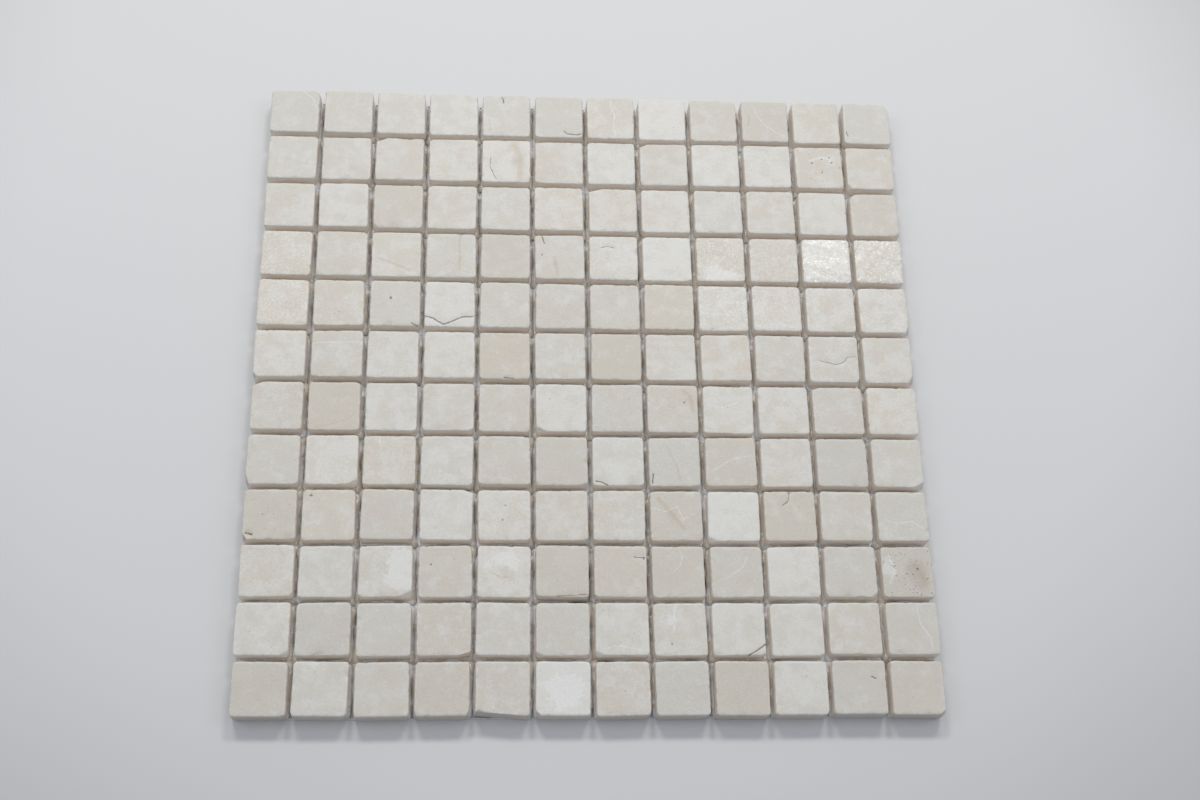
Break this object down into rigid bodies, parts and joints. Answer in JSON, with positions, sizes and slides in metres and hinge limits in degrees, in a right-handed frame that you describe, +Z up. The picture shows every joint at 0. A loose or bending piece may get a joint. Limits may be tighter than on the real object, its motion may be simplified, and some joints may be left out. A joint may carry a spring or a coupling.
{
  "type": "mosaic tile sheet",
  "caption": "Square sheet of tumbled cream stone mosaic tiles set in a square grid with open joints, held by their backs on a glass yarn mesh.",
  "frame": {"origin": "middle of the sheet, on the plane that the backing mesh rests on", "axes": "+X along a row of tiles, +Y from the first row to the last, away from the picture's viewer, +Z up out of the stone faces"},
  "size_m": [0.3031, 0.3033, 0.0107],
  "materials": {
    "tumbled_stone": "tumbled, matt, with worn arrises and corners",
    "glass_mesh": "coated glass yarn"
  },
  "bodies": {
    "root": {"tile_row_01": "tumbled_stone", "tile_row_02": "tumbled_stone", "tile_row_03": "tumbled_stone", "tile_row_04": "tumbled_stone", "tile_row_05": "tumbled_stone", "tile_row_06": "tumbled_stone", "tile_row_07": "tumbled_stone", "tile_row_08": "tumbled_stone", "tile_row_09": "tumbled_stone", "tile_row_10": "tumbled_stone", "tile_row_11": "tumbled_stone", "tile_row_12": "tumbled_stone", "mesh_lengthwise_yarns": "glass_mesh", "mesh_crosswise_yarns": "glass_mesh"}
  },
  "joints": []
}
